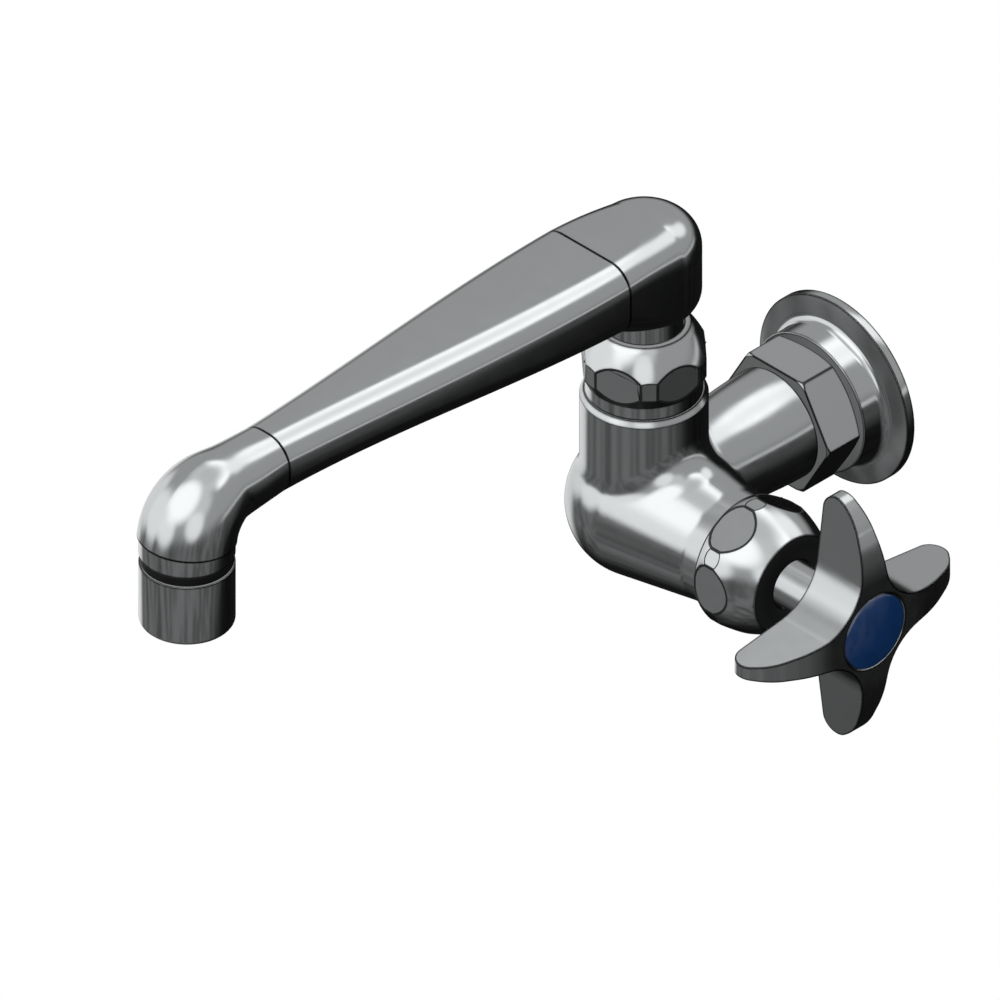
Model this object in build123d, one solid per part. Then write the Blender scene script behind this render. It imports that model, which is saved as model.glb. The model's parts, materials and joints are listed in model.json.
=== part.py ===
from build123d import *

import os
from math import cos, hypot, radians, sin

# Commercial wall faucet, in millimetres. The origin is the centre of the flange's back, on the wall: the
# wall is the plane y = 0, the faucet stands out toward -Y, the handle points to +X and +Z is up. Every
# piece is drawn about the body's centre, where the inlet, riser and valve axes cross, and moves to the
# wall frame when saved. Valve pieces are drawn standing on Z and then laid along X, inlet pieces along Y.

os.makedirs("parts", exist_ok=True)

# --- driving dimensions ---------------------------------------------------------------------------
wall_to_riser = 65.6  # wall face to the riser's axis
spout_reach = 152.4  # riser's axis to the outlet's axis, a 6 in spout
running_fit = 0.08  # radial gap of a part that turns or slides in its hole
thread_fit = 0.05  # radial gap between screwed pieces
face_gap = 0.05  # gap between faces that turn on each other

# Body casting
bulb_radius = 18.8
barrel_taper = 9.1  # degrees
barrel_radius = 14.7
barrel_taper_end = 26.4
barrel_end = 32.3
riser_radius = 15.3
riser_top = 30.85
riser_rim = 0.9
riser_rim_height = 1.45
riser_fillet = 8.0
inlet_root_radius = 13.3
inlet_root_end = 26.0
inlet_radius = 14.4
inlet_flare_end = 36.0
inlet_end = 43.6
inlet_fillet = 4.0
inlet_thread = 10.4
inlet_thread_length = 6.0

# Water ways in the body
inlet_bore = 7.0
throat_bore = 4.8
throat_start = 14.0
port_bore = 3.2
chamber_bore = 10.2
chamber_floor = 8.2
seat_floor = 5.2
seat_radius = 6.5
seat_bore = 4.2
seat_face = 9.0
riser_bore = 8.5
riser_floor = 11.5
socket_bore = 10.6
socket_floor = 20.0

# Wall coupling and flange
coupling_flats = 31.5
coupling_corner = 18.3
coupling_chamfer = 1.5
coupling_far = 55.3
coupling_web = 1.5
supply_bore = 9.3
supply_depth = 13.5
shank_radius = 13.6
flange_radius = 24.65
flange_rim = 2.4
flange_slope_radius = 20.2
flange_slope_rise = 0.9
flange_hub = 18.2
flange_cove = 2.0
gasket_thickness = 0.95

# Domed nuts
swivel_nut_flats = 28.7
swivel_nut_corner = 15.6
swivel_nut_turn = 19.6  # degrees, as tightened
swivel_nut_top = 51.1
bonnet_nut_flats = 31.3
bonnet_nut_corner = 17.0
bonnet_nut_end = 49.5
swivel_thread = 12.5
swivel_thread_top = 39.2
bonnet_thread = 13.0
bonnet_thread_end = 39.5

# Spout
neck_radius = 9.4
neck_bore = 7.0
neck_top = 60.0  # inside the rear elbow
elbow_bottom = 54.7
elbow_floor = 4.0
elbow_top = 81.4
elbow_half_width = 13.75
elbow_corners = (6.8, 10.0)  # lower and upper
elbow_run = (7.0, 14.25, 2.2, 0.3)  # on the way to the seam: distance, half width, rise below and above
spout_top = 82.0
spout_wall = 2.4
water_way_corner = 5.0  # inside the rear elbow

# Sections across the spout: distance from the riser's axis, half width, underside and corner radius
rear_seam = (19.3, 14.9, 62.7, 6.7)
full_tube = (48.0, 14.1, 64.2, 6.9)
slim_tube = (100.0, 10.15, 66.6, 7.1)
front_seam = (126.4, 8.35, 66.4, 7.2)

# Outlet
tip_rim_angle = 84.5  # degrees that the outlet elbow turns, so its rim rises toward the front
tip_gap = 0.9  # from the bend's pivot to the underside
tip_radii = (8.75, 9.7, 10.8, 11.6, 11.9)  # at the quarter steps of the turn
tip_pivot_y = -spout_reach + (tip_gap + tip_radii[-1]) * sin(radians(tip_rim_angle))
tip_pivot_z = 63.9
collar_radius = 11.5
collar_bottom = 61.1
outlet_gasket_bottom = 58.3
outlet_thread = 9.8
outlet_thread_bottom = 53.2
outlet_bore = 7.6
outlet_bottom = 41.5
outlet_lip = 8.4

# Spout swivel
shoulder_radius = 12.0
shoulder_bottom = 39.5
shoulder_top = 42.0
thrust_thickness = 0.9
tube_bottom = 21.0
o_ring_section = 0.8

# Valve unit
sleeve_radius = 10.15
sleeve_start = 15.0
sleeve_flange = 12.9
sleeve_end = 46.5
sleeve_nose = 8.0
key_radius = 7.5
key_flat = 5.5
cavity_end = 29.6
spindle_radius = 4.5
spindle_thread = 3.4
spindle_collar = 5.4
spindle_tang = 4.0
plunger_start = 11.4
plunger_length = 11.1
plunger_lift = 3.0
washer_radius = 6.3
washer_screw_head = 2.9
washer_screw_shank = 1.4

# Handle
stub_radius = 5.9
stub_start = 47.2
handle_back = 61.9
handle_front = 77.0
handle_floor = 69.0
arm_reach = 34.0
arm_root = 6.2  # half width of an arm's edge lines at the axis
arm_tip = 1.75  # half width at the tip
arm_fillet = 14.0
arm_edge = 1.1
button_radius = 9.8
button_seat = 74.6
button_rise = 2.1


# --- shared forms ---------------------------------------------------------------------------------
def turned(*points):
    """A solid of revolution about Z from (radius, height) points."""
    return revolve(make_face(Plane.XZ * Polyline(*points, close=True)), Axis.Z)


def rod(radius, bottom, top):
    """A round solid on Z between two heights."""
    return Pos(0, 0, bottom) * Cylinder(radius, top - bottom, align=(Align.CENTER, Align.CENTER, Align.MIN))


def ring(outer, inner, bottom, top):
    return rod(outer, bottom, top) - rod(inner, bottom, top)


def along_x(shape):
    """Lays a piece drawn on Z along the valve's axis."""
    return Rot(0, 90, 0) * shape


def along_y(shape):
    """Lays a piece drawn on Z along the inlet's axis, toward the wall."""
    return Rot(-90, 0, 0) * shape


def hexagon(flats, bottom, top, turn=0):
    """A hexagonal prism on Z, with a flat facing Y when turn is 0."""
    outline = RegularPolygon(flats / 2, 6, major_radius=False, rotation=turn)
    return Pos(0, 0, bottom) * extrude(outline, top - bottom)


def flatted_rod(radius, flat, bottom, top):
    """A rod with two flats, which keys a sliding piece."""
    block = Pos(0, 0, (bottom + top) / 2) * Box(2 * flat, 4 * radius, top - bottom)
    return rod(radius, bottom, top) & block


def o_rings(groove_radius, section, heights):
    """Rubber rings seated in grooves whose floor has the given radius."""
    return [Pos(0, 0, z) * Torus(groove_radius + section + 0.02, section) for z in heights]


def grooves(outer, groove_radius, section, heights):
    """Cuts for the grooves that hold such rings in a rod."""
    return [ring(outer + 1, groove_radius, z - section - 0.1, z + section + 0.1) for z in heights]


def cross_section(distance, half_width, bottom, top, lower_corner, upper_corner, inset=0):
    """A rounded rectangle across the spout, drawn in by an inset where it bounds the water way."""
    height = top - bottom - 2 * inset
    section = Pos(0, (bottom + top) / 2) * Rectangle(2 * (half_width - inset), height)
    section = fillet([v for v in section.vertices() if v.Y < (bottom + top) / 2], lower_corner - inset)
    section = fillet([v for v in section.vertices() if v.Y > top - inset - 0.001], upper_corner - inset)
    return Plane((0, -distance, 0), x_dir=(1, 0, 0), z_dir=(0, -1, 0)) * section


# --- pieces fixed to the wall ---------------------------------------------------------------------
def on_inlet(edge):
    """True for the edges where the inlet barrel grows out of the casting."""
    spots = [edge @ share for share in (0, 0.3, 0.6, 1)]
    return all(abs(hypot(p.X, p.Z) - inlet_root_radius) < 0.02 and p.Y < inlet_root_end - 1 for p in spots)


def valve_body():
    # The valve barrel leaves the round corner bulb as a tangent cone.
    root_radius = bulb_radius * cos(radians(barrel_taper))
    root_height = bulb_radius * sin(radians(barrel_taper))
    middle = (bulb_radius * cos(radians(-40)), bulb_radius * sin(radians(-40)))
    outline = ThreePointArc((0, -bulb_radius), middle, (root_radius, root_height)) + Polyline(
        (root_radius, root_height),
        (barrel_radius, barrel_taper_end),
        (barrel_radius, barrel_end),
        (bonnet_thread, barrel_end),
        (bonnet_thread, bonnet_thread_end),
        (0, bonnet_thread_end),
        (0, -bulb_radius),
    )
    barrel = along_x(revolve(make_face(Plane.XZ * outline), Axis.Z))
    riser = turned(
        (0, 0),
        (riser_radius, 0),
        (riser_radius, riser_top),
        (riser_radius - riser_rim, riser_top + riser_rim_height),
        (swivel_thread, riser_top + riser_rim_height),
        (swivel_thread, swivel_thread_top),
        (0, swivel_thread_top),
    )
    inlet = along_y(
        turned(
            (0, 0),
            (inlet_root_radius, 0),
            (inlet_root_radius, inlet_root_end),
            (inlet_radius, inlet_flare_end),
            (inlet_radius, inlet_end),
            (inlet_thread, inlet_end),
            (inlet_thread, inlet_end + inlet_thread_length),
            (0, inlet_end + inlet_thread_length),
        )
    )
    body = barrel + riser
    body = fillet([e for e in body.edges() if e.geom_type == GeomType.BSPLINE], riser_fillet)
    body = body + inlet
    body = fillet([e for e in body.edges() if on_inlet(e)], inlet_fillet)

    thread_end = inlet_end + inlet_thread_length
    inlet_way = rod(inlet_bore, throat_start, thread_end) + rod(throat_bore, 0, throat_start)
    valve_way = (
        rod(seat_bore, 0, seat_floor)
        + rod(seat_radius + thread_fit, seat_floor, chamber_floor)
        + rod(chamber_bore, chamber_floor, bonnet_thread_end)
    )
    riser_way = rod(riser_bore, riser_floor, socket_floor) + rod(socket_bore, socket_floor, swivel_thread_top)
    port = Pos(14, 0, 6) * Rot(0, -45, 0) * rod(port_bore, 0, 14)
    return body - along_y(inlet_way) - along_x(valve_way) - riser_way - port


def wall_flange():
    front = wall_to_riser - flange_rim
    slope_top = front - flange_slope_rise
    plate = turned(
        (shank_radius + thread_fit, coupling_far),
        (flange_hub, coupling_far),
        (flange_hub, slope_top),
        (flange_slope_radius, slope_top),
        (flange_radius, front),
        (flange_radius, wall_to_riser),
        (shank_radius + thread_fit, wall_to_riser),
    )
    cove = [
        e
        for e in plate.edges().filter_by(GeomType.CIRCLE)
        if abs(e.radius - flange_hub) < 0.01 and abs(e.center().Z - slope_top) < 0.01
    ]
    return along_y(fillet(cove, flange_cove - 0.1))


def inlet_coupling():
    envelope = turned(
        (0, inlet_end),
        (coupling_corner, inlet_end),
        (coupling_corner, coupling_far - coupling_chamfer),
        (coupling_corner - 2 * coupling_chamfer, coupling_far),
        (0, coupling_far),
    )
    nut = hexagon(coupling_flats, inlet_end, coupling_far) & envelope
    body_end = inlet_end + inlet_thread_length + gasket_thickness + 0.05
    supply_start = wall_to_riser - supply_depth
    water_way = (
        rod(inlet_thread + thread_fit, inlet_end, body_end)
        + rod(inlet_bore, body_end, supply_start)
        + rod(supply_bore, supply_start, wall_to_riser)
    )
    return along_y(nut + rod(shank_radius, coupling_far, wall_to_riser) - water_way)


def inlet_gasket():
    start = inlet_end + inlet_thread_length
    return along_y(ring(inlet_thread, inlet_bore, start, start + gasket_thickness))


def valve_seat():
    lip = ring(seat_radius - 1.1, seat_bore, chamber_floor, seat_face)
    return along_x(ring(seat_radius, seat_bore, seat_floor, chamber_floor) + lip)


def domed_nut(flats, corner, turn, skirt, dome):
    """A hexagon whose corners are turned down to a round, a cone below and an arched dome above."""
    outline = Polyline((0, skirt[0][1]), *skirt) + ThreePointArc(*dome) + Polyline(dome[2], (0, dome[2][1]))
    outline += Line((0, dome[2][1]), (0, skirt[0][1]))
    form = revolve(make_face(Plane.XZ * outline), Axis.Z)
    return form & hexagon(flats, skirt[0][1] - 1, dome[2][1] + 1, turn)


def swivel_nut():
    skirt_bottom = riser_top + riser_rim_height
    step = shoulder_top + thrust_thickness + 2 * face_gap
    skirt = [(14.0, skirt_bottom), (14.0, 35.7), (swivel_nut_corner, 38.8), (swivel_nut_corner, 43.6)]
    dome = [(swivel_nut_corner, 43.6), (14.4, 46.2), (11.95, 50.2)]
    nut = domed_nut(swivel_nut_flats, swivel_nut_corner, swivel_nut_turn, skirt, dome)
    rim = turned((0, 50.2), (11.95, 50.2), (11.1, swivel_nut_top), (0, swivel_nut_top))
    thread = rod(swivel_thread + thread_fit, skirt_bottom, step)
    return nut + rim - thread - rod(neck_radius + running_fit, step, swivel_nut_top)


def bonnet_nut():
    skirt = [(15.7, barrel_end), (bonnet_nut_corner, 35.4), (bonnet_nut_corner, 39.7)]
    dome = [(bonnet_nut_corner, 39.7), (15.4, 44.0), (12.7, bonnet_nut_end)]
    nut = domed_nut(bonnet_nut_flats, bonnet_nut_corner, 0, skirt, dome)
    clamp_face = bonnet_thread_end + 3.0
    bore = (
        rod(bonnet_thread + thread_fit, barrel_end, clamp_face)
        + rod(sleeve_nose + thread_fit, clamp_face, sleeve_end + 0.3)
        + rod(stub_radius + 0.3, sleeve_end, bonnet_nut_end)
    )
    return along_x(nut - bore)


def bonnet_gasket():
    return along_x(ring(sleeve_flange, sleeve_radius + 0.1, bonnet_thread_end, bonnet_thread_end + 0.7))


def bonnet_sleeve():
    flange_start = bonnet_thread_end + 0.7
    flange_end = bonnet_thread_end + 3.0
    sleeve = (
        rod(sleeve_radius, sleeve_start, flange_start)
        + rod(sleeve_flange, flange_start, flange_end)
        + rod(sleeve_nose, flange_end, sleeve_end)
    )
    cavity = flatted_rod(key_radius + running_fit, key_flat + running_fit, sleeve_start, cavity_end)
    return along_x(sleeve - cavity - rod(spindle_radius + running_fit, cavity_end, sleeve_end))


# --- pieces that turn with the spout --------------------------------------------------------------
swivel_ring_heights = (26.0, 33.0)
swivel_groove = socket_bore - running_fit - 2 * o_ring_section


def swivel_tube():
    tube = (
        rod(socket_bore - running_fit, tube_bottom, shoulder_bottom)
        + rod(shoulder_radius, shoulder_bottom, shoulder_top)
        + rod(neck_radius, shoulder_top, neck_top)
    )
    tube -= rod(neck_bore, tube_bottom, neck_top)
    for cut in grooves(socket_bore, swivel_groove, o_ring_section, swivel_ring_heights):
        tube -= cut
    return tube


def swivel_o_rings():
    return Compound(o_rings(swivel_groove, o_ring_section - 0.02, swivel_ring_heights))


def thrust_washer():
    start = shoulder_top + face_gap / 2
    return ring(shoulder_radius, neck_radius + 0.1, start, start + thrust_thickness)


def tube_section(seam, inset):
    distance, half_width, bottom, corner = seam
    return cross_section(distance, half_width, bottom, spout_top, corner, corner, inset)


def elbow_form(inset, bottom, lower_corner):
    """The rear elbow: a half turn about the riser's axis, then a short run that shallows to the seam."""
    upper = elbow_corners[1]
    run, half_width, rise_below, rise_above = elbow_run
    run_heights = (bottom + rise_below, elbow_top + rise_above)
    start = cross_section(0, elbow_half_width, bottom, elbow_top, lower_corner, upper, inset)
    middle = cross_section(run, half_width, *run_heights, lower_corner, upper - 1.5, inset)
    half = start & Pos(elbow_half_width, 0, bottom) * Box(2 * elbow_half_width, 1, 100)
    return revolve(half, Axis.Z, 180) + loft([start, middle, tube_section(rear_seam, inset)])


def spout_elbow():
    outside = elbow_form(0, elbow_bottom, elbow_corners[0])
    inside = elbow_form(spout_wall, elbow_bottom + elbow_floor, water_way_corner)
    socket = rod(neck_radius + thread_fit, elbow_bottom - 1, neck_top + thread_fit)
    return outside - inside - socket - rod(neck_bore, neck_top, neck_top + elbow_floor)


def tube_form(inset):
    """The tapered spout, slightly full near the elbow and round toward the outlet."""
    return loft([tube_section(seam, inset) for seam in (rear_seam, full_tube, slim_tube, front_seam)])


def spout_tube():
    return tube_form(0) - tube_form(spout_wall)


def tip_section(step, inset):
    """A round section of the outlet elbow, at a quarter step of its turn about the pivot."""
    angle = radians(tip_rim_angle * step / 4)
    radius = tip_radii[step]
    reach = tip_gap + radius
    centre = (0, tip_pivot_y - reach * sin(angle), tip_pivot_z + reach * cos(angle))
    outline = RectangleRounded(2 * (radius - inset), 2 * (radius - inset), radius - inset - 0.1)
    return Plane(centre, x_dir=(1, 0, 0), z_dir=(0, -cos(angle), -sin(angle))) * outline


def tip_form(inset):
    """The outlet elbow: a short run from the seam, then a widening turn downward."""
    turn = [tip_section(step, inset) for step in range(5)]
    return loft([tube_section(front_seam, inset), turn[0]], ruled=True) + loft(turn[:3]) + loft(turn[2:])


tip_rim_direction = (0, cos(radians(tip_rim_angle)), sin(radians(tip_rim_angle)))


def spout_tip():
    return tip_form(0) - tip_form(spout_wall)


def at_outlet(shape):
    return Pos(0, -spout_reach, 0) * shape


def outlet_collar():
    collar = rod(collar_radius, collar_bottom, tip_pivot_z + 6)
    rim = Plane((0, tip_pivot_y + spout_reach, tip_pivot_z), x_dir=(1, 0, 0), z_dir=tip_rim_direction)
    collar = split(collar, bisect_by=rim, keep=Keep.BOTTOM) - rod(outlet_bore, collar_bottom, tip_pivot_z + 6)
    spigot = ring(outlet_thread, outlet_bore, outlet_thread_bottom, collar_bottom)
    return at_outlet(collar + spigot)


def outlet_gasket():
    return at_outlet(ring(collar_radius - 0.3, outlet_thread + 0.1, outlet_gasket_bottom, collar_bottom))


def aerator_housing():
    housing = rod(collar_radius, outlet_bottom, outlet_gasket_bottom)
    bottom_edge = housing.edges().filter_by(GeomType.CIRCLE).sort_by(Axis.Z)[0]
    housing = fillet(bottom_edge, 1.2)
    inside = (
        rod(outlet_thread + thread_fit, outlet_thread_bottom - 0.7, outlet_gasket_bottom)
        + rod(outlet_thread - 0.2, outlet_bottom + 2.5, outlet_thread_bottom)
        + rod(outlet_lip, outlet_bottom, outlet_bottom + 3)
    )
    return at_outlet(housing - inside)


def aerator_washer():
    bottom = outlet_thread_bottom - 0.75
    return at_outlet(ring(outlet_thread - 0.25, outlet_bore, bottom, outlet_thread_bottom))


def aerator_screen():
    top = outlet_thread_bottom - 0.75
    screen = rod(outlet_thread - 0.3, top - 0.4, top)
    spots = HexLocations(1.05, 7, 7)
    holes = [spot * Cylinder(0.6, 4) for spot in spots if spot.position.length < 7.0]
    return at_outlet(screen - Pos(0, 0, top) * Compound(holes))


def aerator_insert():
    top = outlet_thread_bottom - 1.15
    bottom = outlet_bottom + 2.5
    insert = rod(outlet_thread - 0.3, bottom, top) - rod(outlet_thread - 1.5, bottom + 2.0, top)
    holes = [Cylinder(1.1, 8)]
    for count, radius in ((6, 3.4), (12, 6.8)):
        holes += [spot * Cylinder(1.1, 8) for spot in PolarLocations(radius, count)]
    return at_outlet(insert - Pos(0, 0, bottom) * Compound(holes))


# --- pieces that turn with the handle -------------------------------------------------------------
spindle_ring_section = 0.58
spindle_groove = spindle_radius - 2 * spindle_ring_section + 0.06
spindle_ring_heights = (34.0, 38.5)
spindle_thread_start = plunger_start + 1.8 + plunger_lift + 0.3
collar_start = plunger_start + plunger_length + plunger_lift + 1.8
tang_end = handle_floor - 2.5


def spindle():
    shaft = (
        rod(spindle_thread, spindle_thread_start, collar_start)
        + rod(spindle_collar, collar_start, cavity_end - 0.6)
        + rod(spindle_radius, cavity_end - 0.6, stub_start - 0.1)
        + rod(spindle_tang, stub_start - 0.1, tang_end)
    )
    for cut in grooves(spindle_radius, spindle_groove, spindle_ring_section, spindle_ring_heights):
        shaft -= cut
    return along_x(shaft - rod(2.05, tang_end - 9, tang_end))


def spindle_o_rings():
    return along_x(Compound(o_rings(spindle_groove, spindle_ring_section - 0.02, spindle_ring_heights)))


def spindle_washer():
    return along_x(ring(spindle_collar, spindle_radius + 0.05, cavity_end - 0.6, cavity_end - face_gap))


def arm_side():
    """Two opposite arms seen from the side: a flat back, and a front that falls gently toward the tips."""
    corners = (
        (arm_reach, handle_back, 4.0),
        (arm_reach, 67.5, 3.5),
        (30.0, 72.6, 7.0),
        (19.0, handle_front, 10.0),
    )
    right = [(x, z) for x, z, radius in corners]
    left = [(-x, z) for x, z in reversed(right)]
    side = make_face(Polyline(*right, *left, close=True))
    for x, z, radius in corners:
        spots = [v for v in side.vertices() if abs(abs(v.X) - x) < 0.01 and abs(v.Y - z) < 0.01]
        side = fillet(spots, radius)
    return side


def near_axis(edge, reach):
    return hypot(edge.center().X, edge.center().Y) < reach


def stands_on_z(edge):
    return abs(edge.tangent_at(0.5).Z) > 0.999


def cross_handle():
    # Seen along the axis an arm pair tapers from the hub to both tips.
    right = [(0, -arm_root), (arm_reach, -arm_tip), (arm_reach, arm_tip), (0, arm_root)]
    outline = make_face(Polyline(*right, (-arm_reach, arm_tip), (-arm_reach, -arm_tip), close=True))
    prism = Pos(0, 0, handle_back) * extrude(outline, handle_front - handle_back)
    arms = prism & extrude(Plane.XZ * arm_side(), 2 * arm_root, both=True)
    handle = arms + Rot(0, 0, 90) * arms
    between = [e for e in handle.edges() if stands_on_z(e) and near_axis(e, arm_root * 2)]
    handle = fillet(between, arm_fillet)
    long_edges = [
        e
        for e in handle.edges()
        if not (stands_on_z(e) and near_axis(e, 20)) and abs(e.center().X) > 0.01 and abs(e.center().Y) > 0.01
    ]
    handle = fillet(long_edges, arm_edge)
    handle += rod(stub_radius, stub_start, handle_back + 1)
    pockets = (
        rod(button_radius + 0.1, button_seat, handle_front + 1)
        + rod(5.0, handle_floor, button_seat)
        + rod(2.6, tang_end, handle_floor)
        + rod(spindle_tang + 0.03, stub_start, tang_end + 0.1)
    )
    return along_x(handle - pockets)


def index_button():
    rim = handle_front + 0.1
    bow_radius = (button_radius**2 + button_rise**2) / (2 * button_rise)
    cap = Pos(0, 0, rim + button_rise - bow_radius) * Sphere(bow_radius)
    return along_x(rod(button_radius, button_seat, rim) + (rod(button_radius, rim, handle_front + 9) & cap))


def handle_screw():
    head = rod(4.2, handle_floor, handle_floor + 2.8) - hexagon(4.0, handle_floor + 1.0, handle_floor + 3)
    return along_x(head + rod(2.0, tang_end - 8, handle_floor))


# --- pieces that slide in the valve ---------------------------------------------------------------
def plunger():
    slug = flatted_rod(key_radius, key_flat, plunger_start, plunger_start + plunger_length)
    slug -= rod(spindle_thread + thread_fit, plunger_start + 1.8, plunger_start + plunger_length)
    return along_x(slug - rod(washer_screw_shank + 0.03, plunger_start, plunger_start + 1.8))


def seat_washer():
    return along_x(ring(washer_radius, washer_screw_shank + 0.03, seat_face + 0.02, plunger_start))


def seat_washer_screw():
    head = rod(washer_screw_head, seat_face - 1.1, seat_face + 0.02)
    return along_x(head + rod(washer_screw_shank, seat_face, plunger_start + 1.6))


# --- the files ------------------------------------------------------------------------------------
pieces = [
    valve_body,
    wall_flange,
    inlet_coupling,
    inlet_gasket,
    valve_seat,
    swivel_nut,
    bonnet_nut,
    bonnet_gasket,
    bonnet_sleeve,
    swivel_tube,
    swivel_o_rings,
    thrust_washer,
    spout_elbow,
    spout_tube,
    spout_tip,
    outlet_collar,
    outlet_gasket,
    aerator_housing,
    aerator_washer,
    aerator_screen,
    aerator_insert,
    spindle,
    spindle_o_rings,
    spindle_washer,
    cross_handle,
    index_button,
    handle_screw,
    plunger,
    seat_washer,
    seat_washer_screw,
]
for piece in pieces:
    export_step(Pos(0, -wall_to_riser, 0) * piece(), f"parts/{piece.__name__}.step")
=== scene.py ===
import json

import bpy
import numpy as np
from mathutils import Matrix, Vector
from math import cos, pi, radians, sin, tan

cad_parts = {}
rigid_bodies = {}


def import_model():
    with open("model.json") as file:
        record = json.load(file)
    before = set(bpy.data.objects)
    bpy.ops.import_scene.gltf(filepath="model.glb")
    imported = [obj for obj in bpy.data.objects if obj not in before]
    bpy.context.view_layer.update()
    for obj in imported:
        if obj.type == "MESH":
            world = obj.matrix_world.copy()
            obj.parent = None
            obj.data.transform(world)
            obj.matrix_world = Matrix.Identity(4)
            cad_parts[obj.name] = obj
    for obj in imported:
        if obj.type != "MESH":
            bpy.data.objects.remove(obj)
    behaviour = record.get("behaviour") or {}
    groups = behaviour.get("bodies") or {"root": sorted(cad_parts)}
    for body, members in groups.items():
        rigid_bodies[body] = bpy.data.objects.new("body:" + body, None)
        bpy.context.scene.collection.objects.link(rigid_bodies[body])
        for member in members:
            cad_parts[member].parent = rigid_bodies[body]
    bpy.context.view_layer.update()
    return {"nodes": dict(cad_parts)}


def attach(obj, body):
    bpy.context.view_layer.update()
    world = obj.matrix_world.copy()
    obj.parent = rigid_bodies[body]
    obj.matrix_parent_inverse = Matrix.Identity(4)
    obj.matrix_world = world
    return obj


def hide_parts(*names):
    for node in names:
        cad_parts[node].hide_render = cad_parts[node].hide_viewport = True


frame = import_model()
nodes = frame["nodes"]

# ---------------------------------------------------------------------------
# Camera: the picture is a parallel projection from the front right and above.
# Every axis is equally foreshortened, and the picture spans 235.8 mm.
# ---------------------------------------------------------------------------
MM = 0.001
wall_to_riser = 65.6
picture_span = 0.2358
camera_distance = 1.2
to_camera = Vector((1, -1, 1)).normalized()
picture_right = Vector((1, 1, 0)).normalized()
picture_up = to_camera.cross(picture_right)
body_centre = Vector((0, -wall_to_riser * MM, 0))
# the middle of the picture lies left of the body's centre, and a little below it
aim = body_centre - 0.03396 * picture_right - 0.00038 * picture_up

bpy.ops.object.select_all(action="DESELECT")
bpy.ops.object.camera_add(location=aim + camera_distance * to_camera)
camera = bpy.context.object
camera.name = "camera"
camera.rotation_euler = to_camera.to_track_quat("Z", "Y").to_euler()
camera.data.type = "ORTHO"
camera.data.ortho_scale = picture_span
camera.data.clip_end = 20
bpy.context.scene.camera = camera
bpy.context.scene.view_settings.view_transform = "Standard"


# ---------------------------------------------------------------------------
# Studio: a pale floor far below the wall faucet, a grey light tent that only
# reflections see, and soft lamps. The tent is what polished chrome needs: it
# gives mid grey overhead, near black below and behind, and clean edges.
# ---------------------------------------------------------------------------
def linear(code):
    """The linear colour of an sRGB hex value."""
    parts = [int(code[i : i + 2], 16) / 255 for i in (1, 3, 5)]
    return [p / 12.92 if p <= 0.04045 else ((p + 0.055) / 1.055) ** 2.4 for p in parts] + [1]


def add(tree, kind, inputs={}, **settings):
    """A shader node with its settings; each input gets a value or another's output."""
    node = tree.nodes.new(kind)
    for name, value in settings.items():
        setattr(node, name, value)
    for socket, value in inputs.items():
        if isinstance(value, bpy.types.NodeSocket):
            tree.links.new(value, node.inputs[socket])
        else:
            node.inputs[socket].default_value = value
    return node


def new_tree(material):
    """The empty node tree of a material or a world."""
    material.use_nodes = True
    material.node_tree.nodes.clear()
    return material.node_tree


def seen_directly(tree):
    """1 for the rays that see a background: from the camera, a reflection or glass."""
    rays = add(tree, "ShaderNodeLightPath").outputs
    seen = rays["Is Camera Ray"]
    for kind in ("Is Glossy Ray", "Is Transmission Ray"):
        either = add(tree, "ShaderNodeMath", {0: seen, 1: rays[kind]}, operation="MAXIMUM")
        seen = either.outputs[0]
    return seen


white = linear("#FFFFFF")
world = bpy.data.worlds.new("studio_air")
bpy.context.scene.world = world
tree = new_tree(world)
room = add(tree, "ShaderNodeBackground", {"Color": white, "Strength": 0.55})
backdrop = add(tree, "ShaderNodeBackground", {"Color": white, "Strength": 1.0})
mixed = add(
    tree,
    "ShaderNodeMixShader",
    {0: seen_directly(tree), 1: room.outputs[0], 2: backdrop.outputs[0]},
)
add(tree, "ShaderNodeOutputWorld", {"Surface": mixed.outputs[0]})

bpy.ops.object.select_all(action="DESELECT")
bpy.ops.mesh.primitive_plane_add(size=12, location=(0, 0, -1.0))
floor = bpy.context.object
floor.name = "floor"
floor_paper = bpy.data.materials.new("floor_paper")
tree = new_tree(floor_paper)
paper = add(tree, "ShaderNodeBsdfDiffuse", {"Color": linear("#F4F4F2")})
glow = add(tree, "ShaderNodeEmission", {"Color": white, "Strength": 1.0})
mixed = add(
    tree, "ShaderNodeMixShader", {0: seen_directly(tree), 1: paper.outputs[0], 2: glow.outputs[0]}
)
add(tree, "ShaderNodeOutputMaterial", {"Surface": mixed.outputs[0]})
floor.data.materials.append(floor_paper)

# the tent: the direction from the faucet decides the shade, in steps that blend
tent_radius = 0.9
bpy.ops.object.select_all(action="DESELECT")
bpy.ops.mesh.primitive_uv_sphere_add(
    segments=64, ring_count=32, radius=tent_radius, location=(0, 0, 0)
)
tent = bpy.context.object
tent.name = "light_tent"
for ray in ("camera", "diffuse", "transmission", "volume_scatter", "shadow"):
    setattr(tent, "visible_" + ray, False)
tent_cloth = bpy.data.materials.new("tent_cloth")
tree = new_tree(tent_cloth)
place = add(tree, "ShaderNodeTexCoord").outputs["Object"]


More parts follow.
